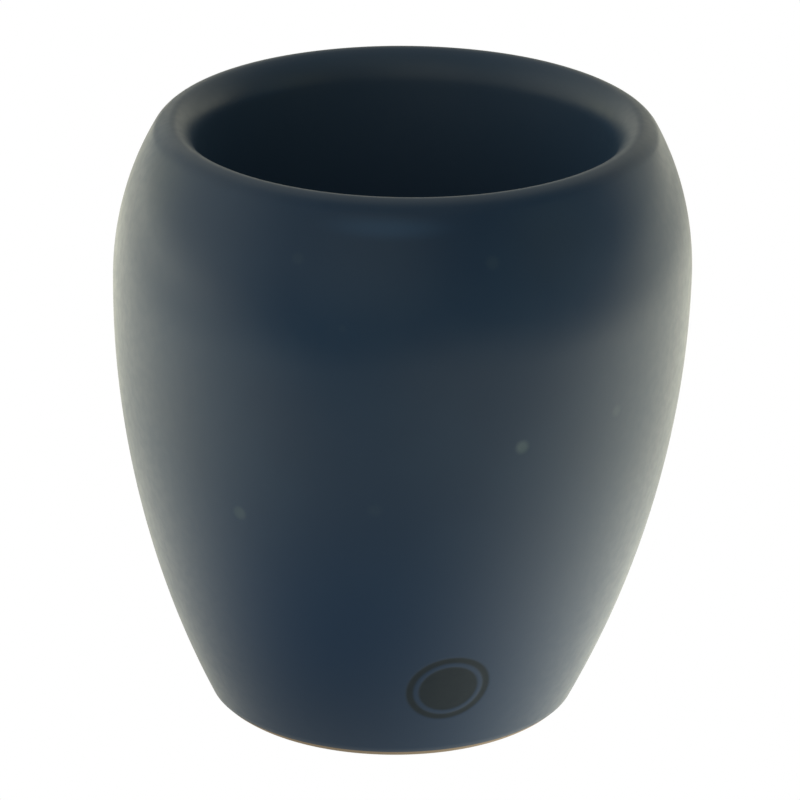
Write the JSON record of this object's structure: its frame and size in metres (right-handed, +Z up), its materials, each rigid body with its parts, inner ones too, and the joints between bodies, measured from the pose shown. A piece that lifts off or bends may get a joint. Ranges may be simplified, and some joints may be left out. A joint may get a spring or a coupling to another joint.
{
  "type": "guitar slide",
  "caption": "Short barrel-shaped ceramic guitar slide: a thick tapered tube with a rounded wide mouth, open right through to its narrow flat-ringed end.",
  "frame": {"origin": "centre of the flat ring at the narrow end, on which the slide stands", "axes": "+Z up the bore's axis, from the narrow end to the wide mouth; X and Y are any two directions across it, because the slide is round"},
  "size_m": [0.028, 0.028, 0.0296],
  "materials": {
    "navy_glaze": "satin"
  },
  "bodies": {
    "root": {"slide_body": "navy_glaze"}
  },
  "joints": []
}
